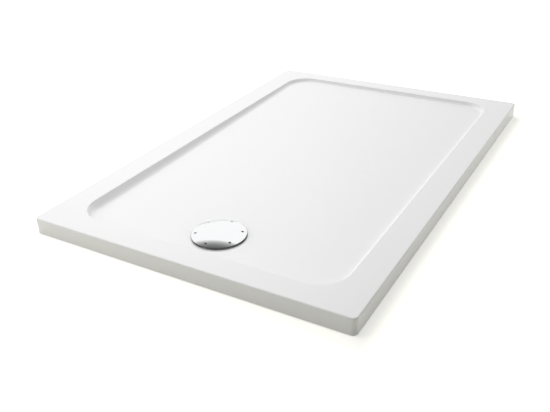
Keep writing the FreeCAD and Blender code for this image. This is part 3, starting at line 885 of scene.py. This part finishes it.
# %% Cast stone resin
stone = Finish("cast stone resin", (0.62, 0.60, 0.56), IOR=1.5)
grain = stone.specks(420.0)
fine = stone.noise(900.0, 3.0)
drift = stone.noise(7.0, 3.0)
bubbles = stone.specks(150.0)
dark_grain = (0.24 - grain).held(0.0, 0.24) * 4.0
mix = stone.blend((drift * 1.2 - 0.1).held(), (0.66, 0.64, 0.60), (0.55, 0.53, 0.49))
mix = stone.blend(dark_grain.held(0.0, 0.75), mix, (0.30, 0.29, 0.28))
mix = stone.blend(((fine - 0.60) * 4.0).held(0.0, 0.7), mix, (0.82, 0.81, 0.78))
pits = (0.13 - bubbles).held(0.0, 0.13) * 7.0
stone.set(
    Base_Color=mix,
    Roughness=(0.62 + fine * 0.25).held(),
    Normal=stone.bump(fine * 0.25 - pits, 0.0004),
)
dress(core, "tray_core", stone, angle=30, place=(0, 0, 0))

# %% [markdown]
# ## Waste cover: a pressed dome of chromed brass
#
# The cover is pressed from sheet: a shallow dome whose edge turns down over the flange and hides it.
# The water runs in under that edge and through six small holes. A spun profile gives the
# dome, and the holes are cut through it with a ring of cylinders. Their edges are softened, since a
# punch draws the metal in a little.

# %% Cover's profile
COVER_R, COVER_FOOT, COVER_EDGE_Z, COVER_WALL = 63.0, 21.1, 22.4, 1.5
COVER_TOP = cover_high.z / MM
rise = COVER_TOP - COVER_EDGE_Z
DOME_R = (COVER_R**2 + rise**2) / (2 * rise)


def dome_height(radius, ball):
    """Height of a ball's surface over a radius, in mm. The ball is the dome's own, or a smaller one."""
    return COVER_TOP - DOME_R + math.sqrt(ball**2 - radius**2)


steps_out = (0, 4, 9, 14, 19, 24, 29, 34, 39, 44, 49, 54)
dome_top = [(r, dome_height(r, DOME_R)) for r in steps_out + (58, 61)]
dome_under = [(r, dome_height(r, DOME_R - COVER_WALL)) for r in (59,) + steps_out[::-1]]
edge = [
    (COVER_R, COVER_EDGE_Z, 0.9), (COVER_R - 0.5, COVER_FOOT, 0.5),
    (COVER_R - 0.5 - COVER_WALL, COVER_FOOT, 0.5),
]
cover = turned("cover", dome_top + edge + dome_under, steps=144, closed=False, arcs=6)
print("cover:", len(cover.data.polygons), "faces, ball of", round(DOME_R, 1), "mm")

# %% Six holes with drawn-in edges
COVER_HOLES, COVER_HOLE_R, COVER_HOLE_AT = 6, 2.9, 52
drill = peg(COVER_HOLE_R, 10, 40, at=(COVER_HOLE_AT, 0), sides=36)
cut(cover, copies(drill, COVER_HOLES, 180 / COVER_HOLES))
hole_axes = [
    Vector((math.cos(a), math.sin(a))) * COVER_HOLE_AT
    for a in (math.pi * (2 * k + 1) / COVER_HOLES for k in range(COVER_HOLES))
]
edit(cover)
pick_creases(cover, lambda p: min(abs((p.xy - axis).length - COVER_HOLE_R) for axis in hole_axes) < 0.02, 40)
bevel(0.45, 3)
deselect()
tell("cover with holes", cover)

# %% [markdown]
# ## Finish of the cover
#
# Chrome is a nearly perfect mirror with a slightly blue cast. Perfect would look false: there are wiping
# marks that only show as a change of gloss, and dried drops that dull it in small rings. The turned
# edge is painted near black, as painted shade for the dark gap under the dome's edge, which is why the
# cover seems to end in a fine dark line.

# %% Polished chrome
chrome = Finish("polished chrome", (0.95, 0.955, 0.96), Metallic=1.0)
wipe = chrome.noise(38.0, 4.0, at=chrome.stretched(1.0, 3.0, 1.0))
drops = chrome.specks(95.0)
ring = (1 - ((drops - 0.30) * (drops - 0.30) * 900.0)).held() * (chrome.noise(14.0, 1.0) - 0.5).held() * 3.0
level = chrome.axis("Z", chrome.place())
# Below this height the turned-down edge is painted near black and made rougher: painted shade for the gap
# under the dome.
SHADED_EDGE_TOP, SHADED_EDGE_FADE = COVER_EDGE_Z + 0.55, 0.5
under = ((SHADED_EDGE_TOP * MM - level) / (SHADED_EDGE_FADE * MM)).held()
wear = (wipe * 0.35 + ring * 0.2).held()
plated = chrome.blend(wear, (0.955, 0.96, 0.965), (0.90, 0.91, 0.92))
chrome.set(
    Base_Color=chrome.blend(under, plated, (0.10, 0.10, 0.105)),
    Roughness=(0.02 + (wipe - 0.4).held() * 0.07 + ring * 0.04 + under * 0.25).held(0.02, 0.4),
)
dress(cover, "waste_cover", chrome, angle=40)

# %% [markdown]
# ## Cover carrier: the plastic spider under the dome
#
# The dome has no screws. A plastic spider is glued under it: three arms with feet that stand on the flange
# and keep a slot open all round for the water, three posts up to the dome, and three clips that reach
# down the throat. It is moulded in one piece, so its parts are made one by one and fused.

# %% Ring, arms, feet, posts and clips
RING_R, RING_W, CARRIER_Z = 33.2, 5, (20.5, 23.5)


def band(inner, outer, low, high, soft):
    """The profile of a plain ring with four equal roundings."""
    return [(inner, low, soft), (outer, low, soft), (outer, high, soft), (inner, high, soft)]


carrier = turned("carrier", band(RING_R - RING_W, RING_R, *CARRIER_Z, 0.4), steps=144, arcs=3)
arm = block((RING_R - 2.5, -4.5, 20.6), (52.8, 4.5, 23.4), 0.4)
foot = block((47, -4.4, 17.3), (53, 4.4, 23.2), 0.4)
post = peg(3.5, CARRIER_Z[0] + 0.5, 31, at=(41, 0))
web = block((34, -0.9, CARRIER_Z[1] - 0.5), (50, 0.9, CARRIER_Z[1] + 2.6), 0.2)
fuse(arm, [foot, post, web], overlapping=True)
under = [(0, 10), (60, 10)]
under += [(r, dome_height(r, DOME_R - COVER_WALL)) for r in (60, 56, 52, 48, 44, 40, 36, 32, 24, 12, 0)]
room = turned("room", under, steps=96, closed=False)
combine(arm, [room], "INTERSECT")
clip_profile = [(31.2, 6.0, 0.7), (33.15, 6.0, 0.9), (33.15, 22.8, 0.0), (31.2, 22.8, 0.0)]
clip = turned("clip", clip_profile, steps=144, arcs=3)
combine(clip, [block((20, -5.8, 0), (40, 5.8, 30))], "INTERSECT")
limbs = copies(arm, 3, 90) + copies(clip, 3, 150)
fuse(carrier, limbs, overlapping=True)
tell("carrier", carrier)

# %% [markdown]
# ## Moulded plastics
#
# The plastics of the waste differ in colour and gloss, but all are moulded: under a lamp they show a fine
# even texture from the tool, slow flow marks where the melt cooled, and a few scuffs. One helper makes
# them all, so each finish below is one line that says what is special about it.

# %% Moulded plastic


def moulded(name, light, dark, gloss, grain=0.00002):
    """A moulded plastic between two colours, with flow marks and a fine tooled texture."""
    plastic = Finish(name, light, IOR=1.5)
    flow = plastic.noise(22.0, 3.0, at=plastic.stretched(1.0, 1.0, 0.35))
    tool = plastic.noise(1300.0, 2.0)
    scuffs = plastic.noise(60.0, 4.0, at=plastic.stretched(1.0, 0.2, 1.0)).above(0.66)
    shade = (flow * 1.3 - 0.15 + scuffs * 0.25).held()
    plastic.set(
        Base_Color=plastic.blend(shade, light, dark),
        Roughness=(gloss + tool * 0.12 + scuffs * 0.12).held(),
        Normal=plastic.bump(tool + flow * 0.4, grain),
    )
    return plastic


grey_plastic = moulded("grey plastic", (0.37, 0.38, 0.39), (0.31, 0.32, 0.33), 0.38)
dress(carrier, "cover_carrier", grey_plastic)

# %% [markdown]
# ## Waste flange and its screws
#
# The flange is the ring that one sees with the cover off. Its plate lies in the rebate on a rubber washer,
# its spigot goes down into the trap's neck, and four countersunk screws pull the two together with the
# tray between them. The plate is a spun profile, the screw seats are cut with the screw's own shape, made
# a little wider, which is how a real countersink matches its screw.

# %% Flange
FLANGE_TOP, SCREW_AT = 17.0, 40.2
profile = [
    (33.5, 2.5, 0.4), (35.7, 2.5, 0.6), (35.7, 14.0, 0.5), (58.0, 14.0, 0.4), (58.0, 17.0, 1.0),
    (51.0, 17.0), (50.4, 16.7, 0.3), (49.2, 16.7, 0.3), (48.6, 17.0), (33.5, 17.0, 1.6),
]
flange = turned("flange", profile, steps=144)
SHANK_R, HEAD_R, SEAT_TOP = 2.3, 5.0, FLANGE_TOP + 0.8
cone_foot = SEAT_TOP - (HEAD_R - SHANK_R)
seat_profile = [(0, 0), (SHANK_R, 0, 0.3), (SHANK_R, cone_foot), (HEAD_R, SEAT_TOP), (0, SEAT_TOP)]
seat = turned("screw seat", seat_profile, steps=32, closed=False, arcs=3)
set_down(seat, place=(SCREW_AT * MM, 0, 0))
cut(flange, copies(seat, 4, 45))
flange_white = moulded("flange white plastic", (0.86, 0.86, 0.85), (0.80, 0.80, 0.79), 0.16, 0.000006)
dress(flange, "waste_flange", flange_white)

# %% [markdown]
# ## A real screw thread
#
# Three pieces have threads: the four screws, the outlet of the trap and its nut. A thread is one ridge
# wound round a rod, so the ridge's section is drawn as a small outline and the Screw modifier winds it
# upwards by one pitch for each turn. Its ends are closed, and the ridge sinks a little into the rod.

# %% Helper for a ridge wound round a rod


def ridge(section, pitch, turns, start, steps):
    """A helix of a small section, given in mm as (radius, height) from the thread's start height."""
    piece = drawn("ridge", [(r, z + start) for r, z in section])
    bpy.ops.mesh.remove_doubles(threshold=MERGE)
    deselect()
    whole = max(1, math.floor(turns))
    finish_modifier(
        piece,
        "SCREW",
        angle=2 * math.pi * turns / whole,
        steps=steps,
        render_steps=steps,
        screw_offset=pitch * turns / whole * MM,
        iterations=whole,
        use_merge_vertices=True,
        merge_threshold=MERGE,
    )
    edit(piece)
    bpy.ops.mesh.select_mode(type="EDGE")
    mark("DESELECT")
    bpy.ops.mesh.select_non_manifold(extend=False)
    bpy.ops.mesh.fill_holes(sides=0)
    clean_faces()
    deselect()
    return piece


print("threads can be wound")

# %% Flange screws
screw_profile = [(0, 3.5), (1.0, 3.5, 0.2), (1.62, 4.3), (1.62, 12.2), (2.0, 12.8), (2.0, 14.8)]
screw_profile += [(4.1, 16.9, 0.1), (3.9, 17.0), (0, 17.0)]
screw = turned("screw", screw_profile, steps=32, closed=False, arcs=2)
thread = ridge([(1.5, -0.28), (1.97, -0.04), (1.97, 0.04), (1.5, 0.28)], 0.8, 9.5, 4.4, steps=16)
slot_a = block((-3.1, -0.5, 15.5), (3.1, 0.5, 18))
slot_b = block((-0.5, -3.1, 15.5), (0.5, 3.1, 18))
cut(screw, [slot_a, slot_b], overlapping=True)
one = joined([set_down(part, place=(SCREW_AT * MM, 0, 0)) for part in (screw, thread)])
screws = joined(copies(one, 4, 45))
tell("screws", screws)

# %% [markdown]
# ## Turned metal
#
# Screws and bushes are turned on a lathe, so fine rings run round their axis and the edges are brighter
# than the flats. Noise that is squeezed along the axis gives rings that look cut by a tool.

# %% Stainless steel and brass


def turned_metal(name, light, dark, rough):
    """Metal with tool rings round the vertical axis, and slight stains."""
    metal = Finish(name, light, Metallic=1.0)
    rings = metal.noise(30.0, 2.0, at=metal.stretched(1.0, 1.0, 120.0))
    stain = metal.noise(300.0, 3.0)
    metal.set(
        Base_Color=metal.blend((stain * 1.2 - 0.2).held(), light, dark),
        Roughness=(rough + rings * 0.15 + stain * 0.08).held(),
        Normal=metal.bump(rings, 0.00002),
    )
    return metal


stainless = turned_metal("stainless steel", (0.72, 0.72, 0.73), (0.56, 0.56, 0.57), 0.22)
dress(screws, "flange_screws", stainless)
brass = turned_metal("bush brass", (0.80, 0.62, 0.30), (0.62, 0.44, 0.20), 0.28)
knurl = [(2.0, 2.5, 0.15), (2.9, 2.5, 0.2)]
for z in (3.6, 5.1, 6.6, 8.1):
    knurl += [(2.9, z), (2.6, z + 0.25), (2.6, z + 0.55), (2.9, z + 0.8)]
knurl += [(2.9, 10.0, 0.2), (2.0, 10.0, 0.25)]
bush = set_down(turned("bush", knurl, steps=32, arcs=2), place=(SCREW_AT * MM, 0, 0))
bushes = joined(copies(bush, 4, 45))
dress(bushes, "screw_bushes", brass)

# %% [markdown]
# ## Rubber seals
#
# Two flat washers seal the tray's hole from above and below, an O-ring seals the dip tube and a tapered
# ring grips the pipe. Moulded rubber is nearly black, dusty with release powder, and dull. Flat washers
# have thin raised rings that press first, so their profile has small grooves.

# %% Rubber
rubber = Finish("seal rubber", (0.03, 0.03, 0.032), IOR=1.5)
powder = rubber.noise(45.0, 4.0)
skin_grain = rubber.noise(1500.0, 2.0)
dusty = ((powder - 0.42) * 3.0).held(0.0, 0.8)
rubber.set(
    Base_Color=rubber.blend(dusty, (0.022, 0.022, 0.024), (0.085, 0.085, 0.088)),
    Roughness=(0.55 + powder * 0.25).held(),
    Normal=rubber.bump(skin_grain, 0.00003),
)
print("rubber nodes:", len(rubber.tree.nodes))

# %% Flat washers above and below the tray


def washer(name, inner, outer, low, high, grooves):
    """A flat washer whose top has shallow ring grooves."""
    profile = [(inner, low, 0.3), (outer, low, 0.4), (outer, high, 0.4)]
    for middle in sorted(grooves, reverse=True):
        for aside, sink in ((0.9, 0), (0.5, 0.35), (-0.5, 0.35), (-0.9, 0)):
            profile.append((middle + aside, high - sink))
    profile.append((inner, high, 0.3))
    return turned(name, profile, arcs=3)


dress(washer("flange seal", 45.4, 57.5, 12.0, 14.0, (48.5, 51.5, 54.5)), "flange_seal", rubber)
dress(washer("body seal", 44.8, 59.6, -1.5, 1.5, (49.0, 52.2, 55.4)), "body_seal", rubber)

# %% [markdown]
# ## Trap body: neck, collar, barrel and outlet
#
# The trap is what one sees from below. Its neck comes up through the tray's hole, its collar is pulled
# against the underside, and its barrel holds the water that keeps the drain's smell out. It is a spun shape
# with a second spun shape, the outlet, lying across it. Each is drawn with its bore, then fused, and the
# waterway is cut through both at the end. Gussets under the collar carry the pull of the screws.

# %% Barrel and its gussets
OUTLET_Z = -38.0
barrel_profile = [
    (36.0, 2.0, 0.3), (36.0, 10.0, 0.6), (44.4, 10.0, 0.8), (44.4, -1.5), (59.6, -1.5, 0.4),
    (59.6, -5.5, 1.0), (37.5, -5.5, 0.8), (37.5, -7.5, 1.0), (42.5, -12.5, 2.0), (42.5, -66.0, 0.4),
    (40.0, -66.0, 0.4), (40.0, -19.5, 2.0), (30.0, -14.5, 0.6), (30.0, -12.0, 0.3), (33.5, -12.0, 0.2),
    (33.5, 2.0, 0.4),
]
body = turned("trap body", barrel_profile)
gusset = block((41.25, -1.25, -21.5), (57.1, 1.25, -5.4))
edit(gusset)
pick(gusset, "verts", lambda p: p.x > 57 and p.z < -21)
bpy.ops.transform.translate(value=(-15.0 * MM, 0, 0))
pick_creases(gusset, lambda p: p.x < 58, 20)
bevel(0.35, 2)
deselect()
fuse(body, copies(gusset, 8, 22.5))
tell("barrel", body)

# %% Outlet across the barrel


def along_outlet(piece):
    """Lay a piece made about Z along the outlet's axis."""
    return set_down(piece, place=(0, 0, OUTLET_Z * MM), turn=(-math.pi / 2, 0, 0))


ROOT_R, CREST_R, PITCH = 25.0, 26.45, 4.0
outside = [
    (0, 30.0), (20.0, 30.0), (20.0, 50.4, 3.0), (24.6, 55.0, 1.5), (24.6, 64.0, 0.3), (26.5, 64.6, 0.3),
    (26.5, 66.0, 0.3), (ROOT_R, 66.6, 0.3), (ROOT_R, 88.0, 0.2), (0, 88.0),
]
outlet = turned("outlet", outside, steps=96, closed=False)
section = [(ROOT_R - 0.3, -1.3), (CREST_R, -0.45), (CREST_R, 0.45), (ROOT_R - 0.3, 1.3)]
thread = ridge(section, PITCH, 4.5, 68.2, steps=64)
fuse(outlet, [thread])
water = [
    (0, 20.0), (17.0, 20.0), (17.0, 58.0, 0.5), (21.8, 58.0, 0.3), (21.8, 85.4, 0.4), (24.4, 88.0),
    (24.4, 89.0), (0, 89.0),
]
bore = turned("bore", water, steps=96, closed=False)
set_down(outlet, turn=(0, 0, math.radians(1)))
along_outlet(outlet)
cut(outlet, [peg(41.3, -70.0, -5.0, sides=100)])
fuse(body, [outlet])
cut(body, [along_outlet(bore)])
tell("body with outlet", body)

# %% Pockets and bush holes in the neck
neck_profile = [(38.0, -1.5, 0.6), (42.4, -1.5, 0.6), (42.4, 11.0), (38.0, 11.0)]
neck_ring = turned("neck ring", neck_profile, steps=144)
pillar = block((36, -7.6, -3), (44, 7.6, 12))
cut(neck_ring, copies(pillar, 4, 45))
cut(body, [neck_ring])
hole = peg(2.9, 2.5, 11.0, at=(SCREW_AT, 0))
cut(body, copies(hole, 4, 45))
trap_white = moulded("trap white plastic", (0.80, 0.80, 0.78), (0.72, 0.72, 0.70), 0.30)
dress(body, "trap_body", trap_white, angle=40)

# %% [markdown]
# ## Cup of the trap
#
# The bowl is moulded apart, because a core must come out of the barrel, and is then welded on. The
# socket band round the joint shows where. Under the bowl the gate of the mould left a small round sink,
# and a ring lets the bowl stand on a bench.

# %% Cup
cup_profile = [
    (0, -117.0), (40.0, -117.0, 7.5), (40.0, -66.0), (42.55, -66.0), (42.55, -61.0, 0.3),
    (44.95, -61.0, 0.6), (44.95, -71.0, 0.5), (42.5, -73.45, 1.2), (42.5, -119.5, 10.0), (24.0, -119.5),
    (23.4, -119.1, 0.3), (21.6, -119.1, 0.3), (21.0, -119.5), (5.0, -119.5), (4.2, -119.0, 0.4),
    (0, -119.0),
]
cup = turned("cup", cup_profile, closed=False, arcs=8)
grip = block((43.6, -1.1, -70.5), (44.9, 1.1, -61.8), 0.3)
fuse(cup, copies(grip, 24))
dress(cup, "trap_cup", trap_white)

# %% [markdown]
# ## Dip tube and its ring
#
# The dip tube lifts out for cleaning. Its funnel catches the water and its tube leads it under the
# surface of the water in the cup. An O-ring in the funnel's groove seals it in the neck. Both are spun.

# %% Dip tube and O-ring
tube_profile = [
    (29.6, -9.5, 2.0), (29.6, -1.7, 0.5), (33.2, -1.7, 0.7), (33.2, -5.15, 0.25), (30.95, -5.15, 0.3),
    (30.95, -8.25, 0.3), (33.2, -8.25, 0.25), (33.2, -11.7, 0.3), (29.7, -11.7, 1.0),
    (26.0, -20.7, 3.0), (26.0, -105.0, 0.6), (23.8, -105.0, 0.6), (23.8, -20.7, 3.0),
]
dip_tube = turned("dip tube", tube_profile, steps=112)
dress(dip_tube, "dip_tube", moulded("dip tube grey", (0.37, 0.38, 0.39), (0.31, 0.32, 0.33), 0.32))

CORD_R, CORD_AT, CORD_STEPS = 1.25, (32.2, -6.7), 20
ring_section = [
    (CORD_AT[0] + CORD_R * math.cos(a), CORD_AT[1] + CORD_R * math.sin(a))
    for a in (2 * math.pi * k / CORD_STEPS for k in range(CORD_STEPS))
]
ring_seal = turned("ring seal", ring_section)
dress(ring_seal, "ring_seal", rubber, angle=60)

# %% [markdown]
# ## Hair strainer
#
# A small basket hangs in the funnel and holds hair back. Its floor has two rings of round holes, its wall
# a ring of slots, and a stem with a knob lets fingers lift it. The basket is spun as a shell of even wall,
# and one drill and one slot cutter are copied round to open it.

# %% Basket, stem and knob
basket_profile = [
    (0, -17.4), (23.2, -17.4, 1.6), (29.0, -9.5, 1.5), (29.0, -1.4, 0.3), (32.8, -1.4, 0.4),
    (32.8, 0.1, 0.6), (27.5, 0.1, 0.8), (27.5, -9.5, 1.0), (21.7, -15.9, 1.0), (0, -15.9),
]
strainer = turned("strainer", basket_profile, steps=120, closed=False)
cutters = []
for radius, count in ((9.5, 6), (16.5, 12)):
    cutters += copies(peg(2.25, -19, -14, at=(radius, 0), sides=24), count)
slot = block((24, -1.5, -8.9), (34, 1.5, -2.9), 0.7)
cutters += copies(slot, 12, 15)
cut(strainer, cutters)
knob_profile = [
    (0, -16.4), (3.0, -16.4), (3.0, 10.1, 0.8), (7.4, 10.1, 0.9), (8.0, 11.2, 0.4), (8.0, 12.6, 0.5),
    (7.0, 13.1, 0.6), (4.0, 12.7, 1.0), (0, 12.6),
]
knob = turned("knob", knob_profile, steps=48, closed=False)
fuse(strainer, [knob])
dress(strainer, "hair_strainer", moulded("strainer grey", (0.40, 0.41, 0.42), (0.33, 0.34, 0.35), 0.34))

# %% [markdown]
# ## Outlet nut, slip ring and cone seal
#
# The nut squeezes a tapered rubber ring on the waste pipe. It turns on the outlet's thread, so its own
# thread must run between the body's turns with the same pitch, half a turn apart in height. Its wall is
# spun, twelve ribs give the hand a grip, and the slip ring lets the nut turn without twisting the rubber.

# %% Nut with its inner thread
nut_profile = [
    (26.55, 62.0, 0.5), (30.95, 62.0, 1.0), (30.95, 97.1, 1.0), (22.1, 97.1, 0.5), (22.1, 94.1, 0.4),
    (26.55, 94.1, 0.4),
]
nut = turned("nut", nut_profile, steps=120)
rib = block((28.75, -2.5, 63.1), (32.95, 2.5, 96.0), 0.9)
fuse(nut, copies(rib, 12))
section = [(26.75, -1.25), (25.15, -0.4), (25.15, 0.4), (26.75, 1.25)]
inner_thread = ridge(section, PITCH, 5.0, 66.2 + PITCH, steps=64)
fuse(nut, [inner_thread])
along_outlet(nut)
dress(nut, "outlet_nut", trap_white, angle=40)

# %% Slip ring and cone seal
slip = turned("slip ring", band(21.8, 26.25, 92.3, 93.8, 0.3), steps=96, arcs=3)
along_outlet(slip)
nylon = moulded("slip ring nylon", (0.80, 0.79, 0.74), (0.74, 0.73, 0.68), 0.34)
dress(slip, "slip_ring", nylon)
cone_profile = [
    (21.6, 86.6, 0.2), (22.4, 86.6, 0.2), (24.1, 88.3), (26.25, 88.3, 0.4), (26.25, 92.3, 0.4),
    (21.6, 92.3, 0.4), (21.6, 91.2, 0.2), (22.0, 90.8, 0.2), (22.0, 90.2, 0.2), (21.6, 89.8, 0.2),
]
cone = turned("cone seal", cone_profile, steps=96, arcs=3)
along_outlet(cone)
dress(cone, "cone_seal", rubber)
